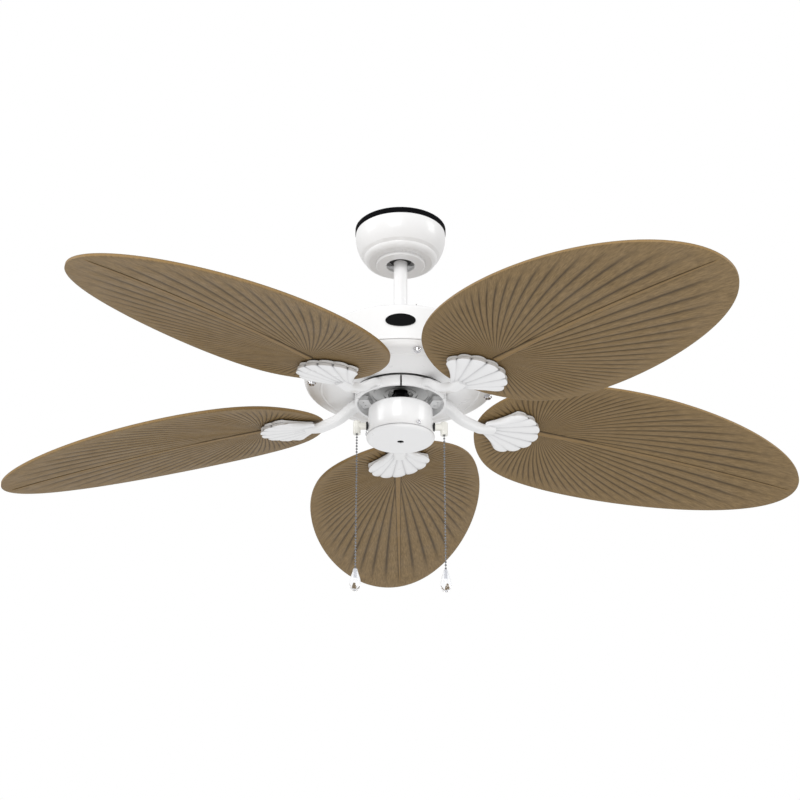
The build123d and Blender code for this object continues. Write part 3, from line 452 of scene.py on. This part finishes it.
def leaf_edge(t):
    """Point on the leaf's outline."""
    half = (TIP_R - ROOT_R) / 2
    middle = (TIP_R + ROOT_R) / 2
    lopsided = math.cos(2 * t) - 1
    u = middle + (half - SQUARE) * math.cos(t) + EGG * lopsided + SQUARE * math.cos(3 * t)
    v = HALF_WIDTH * math.sin(t) + HEART * math.sin(2 * t) + FULL * math.sin(3 * t) - LEAN * lopsided
    return u, v


def outline_reach():
    """Distance from the fold centre to the rim, as a list of (angle, distance) in order of angle."""
    found = []
    for step in range(OUTLINE_STEPS):
        u, v = leaf_edge(2 * math.pi * step / OUTLINE_STEPS)
        found.append((math.atan2(v, u - FOLD_CENTRE), math.hypot(u - FOLD_CENTRE, v)))
    found.sort()
    return found


REACH = outline_reach()


def reach_at(angle):
    """Distance to the rim in one direction, read between the two nearest outline points."""
    low, high = 0, len(REACH) - 1
    if angle <= REACH[0][0] or angle >= REACH[-1][0]:
        return (REACH[0][1] + REACH[-1][1]) / 2
    while high - low > 1:
        middle = (low + high) // 2
        if REACH[middle][0] <= angle:
            low = middle
        else:
            high = middle
    share = (angle - REACH[low][0]) / (REACH[high][0] - REACH[low][0])
    return REACH[low][1] * (1 - share) + REACH[high][1] * share


def ease(value):
    """Smooth step from 0 to 1."""
    value = min(max(value, 0.0), 1.0)
    return value * value * (3 - 2 * value)


# %% [markdown]
# One fold is a soft ridge between two sharp creases. It is shallow by the centre, where the folds crowd
# together, deepest half way out, and fades towards the rim. No two folds are quite alike.


# %% The relief of one fold
def fold_relief(turn, share, distance):
    """Relief height and painted crease shade at a turn in folds, a share of the way out and a distance."""
    within = turn - math.floor(turn)
    fold = math.floor(turn) % FOLDS
    unlike = 0.5 + 0.5 * math.sin(fold * 12.9898 + 4.1)
    width = distance * 2 * math.pi / FOLDS
    depth = min(FOLD_DEPTH * (0.7 + 0.5 * unlike), 0.16 * width)
    fade = ease((1 - share) / FADE_BAND)
    ridge = math.sin(math.pi * within) ** 0.55
    # The crease mask is painted shade, darkest down in each crease.
    crease = (1 - ridge) ** 1.5
    ripple = 0.16 * math.sin(math.pi * 3 * within + fold) * ridge
    return depth * fade * (ridge + ripple - 0.45), crease * fade


# %% Model one leaf
def write_attribute(mesh, name, kind, field, values):
    """Store one value or vector for each point of a mesh."""
    attribute = mesh.attributes.new(name, kind, "POINT")
    attribute.data.foreach_set(field, values)


def leaf_surface(name, side):
    """One face of the leaf as a folded disc. side is 1 for the top and -1 for the underside."""
    rays = FOLDS * RAYS_PER_FOLD
    let_go()
    bpy.ops.mesh.primitive_grid_add(x_subdivisions=rays, y_subdivisions=RINGS + 1, size=2.0)
    piece = newest(name)
    mesh = piece.data
    creases = []
    places = []
    rim_highlights = []
    spots = []
    for point in mesh.vertices:
        across = (point.co.x + 1) / 2
        row = round((point.co.y + 1) / 2 * (RINGS + 1))
        share = 1.0 if row >= RINGS else RIM_START * (row / (RINGS - 1)) ** 0.85
        turn = across * FOLDS
        spread = 2 * across - 1
        rim_angle = math.pi * (spread * (1 - TIP_CROWDING) + TIP_CROWDING * spread**3)
        angle = rim_angle + math.radians(RAY_SWEEP) * math.sin(rim_angle) * (1 - share)
        distance = reach_at(rim_angle) * share
        u = FOLD_CENTRE + distance * math.cos(angle)
        v = distance * math.sin(angle)
        relief, crease = fold_relief(turn, share, distance)
        if side > 0:
            relief = -relief
        half = THICKNESS / 2 - 0.5 * (row == RINGS)
        height = leaf_height(u) + side * (half + relief) * (row <= RINGS)
        spots.extend((u * MM, v * MM, height * MM))
        # The crease mask paints shade into the creases, and the rim mask a highlight along the leaf's edge.
        creases.append(crease)
        rim_highlights.append(1.0 if row > RINGS else 0.0)
        places.extend((turn, distance * MM, share))
    mesh.vertices.foreach_set("co", spots)
    write_attribute(mesh, "crease", "FLOAT", "value", creases)
    write_attribute(mesh, "rim", "FLOAT", "value", rim_highlights)
    write_attribute(mesh, "along", "FLOAT_VECTOR", "vector", places)
    return piece


underside = leaf_surface("leaf_underside", -1)
topside = leaf_surface("leaf_topside", 1)
let_go()
topside.select_set(True)
underside.select_set(True)
bpy.context.view_layer.objects.active = underside
bpy.ops.object.join()
leaf = weld(newest("leaf_pattern"), 0.00001)
smooth(leaf, 50.0)
print("leaf faces:", len(leaf.data.polygons))

# %% [markdown]
# The midrib is a raised strip on the underside. It starts wide at the shell and tapers to the tip, with a
# shallow groove down its middle, so it is shaped from a narrow grid.

# %% Model the midrib
RIB_START = 222.0
RIB_END = 655.0
RIB_HALF = 7.0
RIB_TIP_HALF = 1.8
RIB_PROUD = 2.3
let_go()
bpy.ops.mesh.primitive_grid_add(x_subdivisions=80, y_subdivisions=16, size=2.0)
rib = newest("rib_pattern")
rib_edge_shades = []
rib_places = []
rib_crown_highlights = []
for point in rib.data.vertices:
    share = (point.co.x + 1) / 2
    across = point.co.y
    u = RIB_START + (RIB_END - RIB_START) * share
    half = RIB_HALF + (RIB_TIP_HALF - RIB_HALF) * share ** 0.85
    crown = 1 - abs(across) ** 4
    groove = 0.22 * math.exp(-((across / 0.22) ** 2))
    proud = (RIB_PROUD * (1 - 0.55 * share)) * (crown - groove) * ease((1 - share) / 0.03)
    point.co = Vector((u, half * across, leaf_height(u) - THICKNESS / 2 + 0.9 - proud - 0.9 * crown)) * MM
    # Painted shade along the rib's two edges, and a painted highlight down its crown.
    rib_edge_shades.append(ease((abs(across) - 0.55) / 0.25))
    rib_places.extend((across * 0.6, u * MM, 0.5))
    rib_crown_highlights.append(0.40 * (1 - ease((abs(across) - 0.35) / 0.3)))
write_attribute(rib.data, "crease", "FLOAT", "value", rib_edge_shades)
write_attribute(rib.data, "rim", "FLOAT", "value", rib_crown_highlights)
write_attribute(rib.data, "along", "FLOAT_VECTOR", "vector", rib_places)
take(rib)
bpy.ops.object.mode_set(mode="EDIT")
bpy.ops.mesh.select_all(action="SELECT")
bpy.ops.mesh.flip_normals()
bpy.ops.mesh.select_all(action="SELECT")
bpy.ops.mesh.extrude_region_move(TRANSFORM_OT_translate={"value": (0, 0, 1.2 * MM)})
bpy.ops.mesh.select_all(action="SELECT")
bpy.ops.mesh.normals_make_consistent(inside=False)
bpy.ops.object.mode_set(mode="OBJECT")
smooth(rib, 60.0)

# %% [markdown]
# The leaf's colour is a warm grey brown with fine fibres that run along each fold. Painted shade darkens
# it down in the creases and along the midrib's edges, and a painted golden highlight lights its rim and the
# midrib's crown. All of it is read from the leaf's own attributes, so it follows the folds.

# %% Leaf finish
FIBRE_STRETCH = (9.0, 60.0, 0.0)
CREASE_SHADE_STRENGTH = 0.92
palm, tree, shader = new_material("palm_leaf")
follow = add_node(tree, "ShaderNodeAttribute", attribute_name="along")
crease_shade_mask = add_node(tree, "ShaderNodeAttribute", attribute_name="crease")
rim_highlight_mask = add_node(tree, "ShaderNodeAttribute", attribute_name="rim")
stretch = add_node(tree, "ShaderNodeVectorMath", operation="MULTIPLY")
stretch.inputs[1].default_value = FIBRE_STRETCH
tree.links.new(follow.outputs["Vector"], stretch.inputs[0])
fibre = add_node(tree, "ShaderNodeTexNoise", Scale=1.0, Detail=6.0, Roughness=0.65)
tree.links.new(stretch.outputs["Vector"], fibre.inputs["Vector"])
fibre_shade = add_node(tree, "ShaderNodeValToRGB")
fibre_shade.color_ramp.elements[0].position = 0.30
fibre_shade.color_ramp.elements[0].color = (0.136, 0.086, 0.034, 1.0)
fibre_shade.color_ramp.elements[1].position = 0.72
fibre_shade.color_ramp.elements[1].color = (0.288, 0.192, 0.084, 1.0)
tree.links.new(fibre.outputs["Fac"], fibre_shade.inputs["Fac"])
# Painted shade: the colour darkens to near black brown down in the creases and along the midrib's edges.
crease_shade_mix = add_node(tree, "ShaderNodeMix", data_type="RGBA", blend_type="MIX")
crease_shade_mix.inputs["B"].default_value = (0.042, 0.024, 0.008, 1.0)
crease_shade_amount = maths(tree, "MULTIPLY", crease_shade_mask.outputs["Fac"], CREASE_SHADE_STRENGTH)
tree.links.new(crease_shade_amount, crease_shade_mix.inputs["Factor"])
tree.links.new(fibre_shade.outputs["Color"], crease_shade_mix.inputs["A"])
# Painted highlight: a golden colour along the leaf's rim and down the midrib's crown.
rim_highlight_mix = add_node(tree, "ShaderNodeMix", data_type="RGBA", blend_type="MIX")
rim_highlight_mix.inputs["B"].default_value = (0.28, 0.170, 0.060, 1.0)
tree.links.new(rim_highlight_mask.outputs["Fac"], rim_highlight_mix.inputs["Factor"])
tree.links.new(crease_shade_mix.outputs["Result"], rim_highlight_mix.inputs["A"])
tree.links.new(rim_highlight_mix.outputs["Result"], shader.inputs["Base Color"])
sheen = use_group(tree, uneven, Scale=25.0, Low=0.50, High=0.64)
tree.links.new(sheen.outputs["Value"], shader.inputs["Roughness"])
bump_from(tree, shader, fibre.outputs["Fac"], 0.5, 0.00025)
shader.inputs["Specular IOR Level"].default_value = 0.35

# %% [markdown]
# The finished leaf is copied to each of the five places. A place is the blade plane's height, a turn about
# the fan's axis and the leaf's own pitch, the same three steps as in the CAD.


# %% Hang the five leaves
def blade_place(k):
    """Matrix that takes the leaf pattern to blade k."""
    turn = Matrix.Rotation(math.radians(FIRST_BLADE + k * 360.0 / BLADES), 4, "Z")
    pitch = Matrix.Rotation(math.radians(-PITCH), 4, "X")
    return Matrix.Translation((0.0, 0.0, BLADE_PLANE * MM)) @ turn @ pitch


let_go()
rib.select_set(True)
leaf.select_set(True)
bpy.context.view_layer.objects.active = leaf
bpy.ops.object.join()
leaf.data.materials.append(palm)
for k in range(BLADES):
    hung = placed_copy(leaf, f"palm_leaf_{k + 1}", blade_place(k))
    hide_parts(f"palm_blade_{k + 1}")
    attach(hung, "rotor")
bpy.data.objects.remove(leaf)

# %% [markdown]
# Each arm ends in a cast shell of seven lobes that lies flat under the leaf. The lobes swell between sharp
# grooves that run together at the arm. It is cast with the arm, so the modelled skin is laid over the CAD's
# plain shell.

# %% Shell sizes
SHELL_CENTRE = 145.0
SHELL_REACH = 75.0
SHELL_SPREAD = 62.0
LOBES = 7
SHELL_THICKNESS = 3.5
SHELL_GAP = 3.0
LOBE_CUT = 3.9
LOBE_CROWN = 4.2
SKIN = 0.35
NECK_U = 134.0
NECK_HALF = 8.8
GROOVE_SHADE_WIDTH = 2.1
GROOVE_SHADE_STRENGTH = 0.95


def shell_edge(across):
    """Rim point of the shell for a place from -1 to 1 across its spread, with the lobes' scallops."""
    degrees = across * SHELL_SPREAD
    lobe = (across + 1) / 2 * LOBES
    scallop = math.sin(math.pi * (lobe - math.floor(lobe) if lobe < LOBES else 1.0)) ** 0.6
    reach = SHELL_REACH - 20.0 * (degrees / 60.6) ** 2 - LOBE_CUT * (1 - scallop) + SKIN
    angle = math.radians(degrees)
    return SHELL_CENTRE + reach * math.cos(angle), reach * math.sin(angle)


def shell_start(across):
    """Where a lobe's line starts, by the arm."""
    return NECK_U + 1.5 * (1 - across * across), NECK_HALF * across


# %% Shell finish
# Painted shade: the white enamel darkens to dark grey down the grooves between the lobes.
painted_shade_enamel, tree, shader = new_material("painted_shade_enamel")
gloss = use_group(tree, uneven, Scale=30.0, Low=0.26, High=0.38)
tree.links.new(gloss.outputs["Value"], shader.inputs["Roughness"])
groove_shade_mask = add_node(tree, "ShaderNodeAttribute", attribute_name="groove")
groove_shade_amount = maths(tree, "MULTIPLY", groove_shade_mask.outputs["Fac"], GROOVE_SHADE_STRENGTH)
tinted(tree, shader, groove_shade_amount, (0.83, 0.83, 0.835), (0.16, 0.16, 0.17))
shader.inputs["Coat Weight"].default_value = 0.3

# %% [markdown]
# The same finish paints shade into the seam where the switch housing's lip stands over its cap.

# %% Seam of the switch housing
SEAM_SHADE_WIDTH = 1.1 * MM
cap = nodes["switch_cap"]
seam_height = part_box("switch_housing")[0].z
# Painted shade, darkest where the lip meets the cap.
seam_shades = []
for point in cap.data.vertices:
    above = ((cap.matrix_world @ point.co).z - seam_height) / SEAM_SHADE_WIDTH
    seam_shades.append(math.exp(-(above**2)))
write_attribute(cap.data, "groove", "FLOAT", "value", seam_shades)
cap.data.materials.clear()
cap.data.materials.append(painted_shade_enamel)

# %% Model one shell
let_go()
bpy.ops.mesh.primitive_grid_add(x_subdivisions=LOBES * 16, y_subdivisions=24, size=2.0)
shell = newest("shell_pattern")
grooves = []
for point in shell.data.vertices:
    across = point.co.x
    share = (point.co.y + 1) / 2
    end_u, end_v = shell_edge(across)
    start_u, start_v = shell_start(across)
    bow = (1 - share) * share
    u = start_u + (end_u - start_u) * share
    v = start_v + (end_v - start_v) * share
    side_pull = across * abs(across) ** 3 * 16.0 * bow
    v -= side_pull
    u += abs(side_pull) * 0.35
    lobe = (across + 1) / 2 * LOBES
    within = lobe - math.floor(lobe) if lobe < LOBES else 0.0
    swell = math.sin(math.pi * within) ** 0.75
    lobe_width = math.radians(2 * SHELL_SPREAD / LOBES) * SHELL_REACH * (0.15 + 0.85 * share)
    cut = min(within, 1 - within) * lobe_width
    # The groove mask is painted shade down each groove between two lobes.
    grooves.append(math.exp(-((cut / GROOVE_SHADE_WIDTH) ** 2)) if 0.4 < lobe < LOBES - 0.4 else 0.0)
    room = ease(share / 0.5)
    droop = ease((share - 0.86) / 0.14)
    crown = LOBE_CROWN * (swell * (0.3 + 0.7 * room) - 0.12) * (1 - 0.8 * droop)
    low = leaf_height(u) - THICKNESS / 2 - SHELL_GAP - SHELL_THICKNESS - SKIN - crown * 0.85
    point.co = Vector((u, v, low)) * MM
write_attribute(shell.data, "groove", "FLOAT", "value", grooves)
take(shell)
bpy.ops.object.mode_set(mode="EDIT")
bpy.ops.mesh.select_all(action="SELECT")
bpy.ops.mesh.flip_normals()
bpy.ops.object.mode_set(mode="OBJECT")
wall = shell.modifiers.new("wall", "SOLIDIFY")
wall.thickness = (SHELL_THICKNESS + SKIN) * MM
wall.offset = -1.0
take(shell)
bpy.ops.object.modifier_apply(modifier="wall")
smooth(weld(shell), 38.0)
shell.data.materials.append(painted_shade_enamel)
print("shell faces:", len(shell.data.polygons))
for k in range(BLADES):
    cast = placed_copy(shell, f"shell_{k + 1}", blade_place(k))
    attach(cast, "rotor")
bpy.data.objects.remove(shell)

# %% [markdown]
# The room is an even white surround. The camera sees it as white, while the light that it gives off is plain
# and soft. There is no floor, so that the fan can also be looked at from straight below.

# %% Room and light
world = bpy.data.worlds.new("studio")
bpy.context.scene.world = world
world.use_nodes = True
tree = world.node_tree
tree.nodes.clear()
output = tree.nodes.new("ShaderNodeOutputWorld")
seen = add_node(tree, "ShaderNodeBackground", Color=(1.0, 1.0, 1.0, 1.0), Strength=1.0)
given = add_node(tree, "ShaderNodeBackground", Color=(1.0, 1.0, 1.0, 1.0), Strength=0.83)
ray = tree.nodes.new("ShaderNodeLightPath")
either = maths(tree, "MAXIMUM", ray.outputs["Is Camera Ray"], ray.outputs["Is Transmission Ray"])
mix = tree.nodes.new("ShaderNodeMixShader")
tree.links.new(either, mix.inputs["Fac"])
tree.links.new(given.outputs[0], mix.inputs[1])
tree.links.new(seen.outputs[0], mix.inputs[2])
tree.links.new(mix.outputs[0], output.inputs["Surface"])


def soft_lamp(name, spot, aim, size, power):
    """A square area lamp that points at a spot on the fan."""
    data = bpy.data.lights.new(name, "AREA")
    data.size = size
    data.energy = power
    lamp = bpy.data.objects.new(name, data)
    lamp.location = spot
    lamp.rotation_euler = (Vector(aim) - Vector(spot)).to_track_quat("-Z", "Y").to_euler()
    bpy.context.scene.collection.objects.link(lamp)
    return lamp


soft_lamp("front_lamp", (-0.6, -2.6, 0.6), (0.0, 0.0, -0.25), 1.2, 28.0)
soft_lamp("left_lamp", (-2.4, -0.6, 0.9), (0.0, 0.0, -0.25), 1.0, 12.0)
soft_lamp("right_lamp", (2.4, -0.4, 0.7), (0.0, 0.0, -0.25), 1.0, 10.0)
soft_lamp("lower_lamp", (0.4, -1.6, -2.2), (0.0, 0.0, -0.3), 1.6, 10.0)
